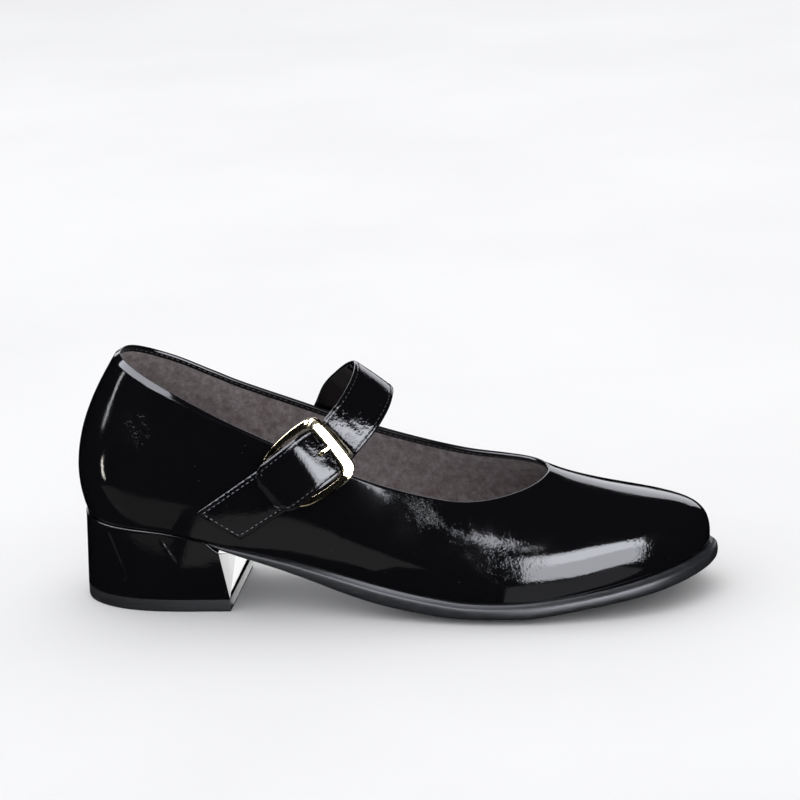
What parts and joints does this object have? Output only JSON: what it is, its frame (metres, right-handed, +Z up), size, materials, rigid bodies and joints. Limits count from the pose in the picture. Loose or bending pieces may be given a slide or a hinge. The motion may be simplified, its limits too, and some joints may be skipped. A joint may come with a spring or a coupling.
{
  "type": "mary jane shoe",
  "caption": "Black patent Mary Jane shoe for the right foot, with a low block heel, an instep strap and a pale gold buckle.",
  "frame": {"origin": "the middle of the shoe's box, on the floor it stands on", "axes": "+X from the heel to the toe, +Y to the inner (medial) side, +Z up"},
  "size_m": [0.2517, 0.0827, 0.1015],
  "materials": {
    "patent_leather": "high gloss",
    "microfibre": "matte",
    "sole_rubber": "satin",
    "tip_rubber": "matte",
    "pale_gold": "polished"
  },
  "bodies": {
    "root": {"upper": "patent_leather", "insole": "microfibre", "outsole": "sole_rubber", "heel_block": "patent_leather", "heel_top_piece": "tip_rubber", "buckle_tab": "patent_leather", "buckle_frame": "pale_gold", "buckle_prong": "pale_gold", "strap": "patent_leather"}
  },
  "joints": []
}
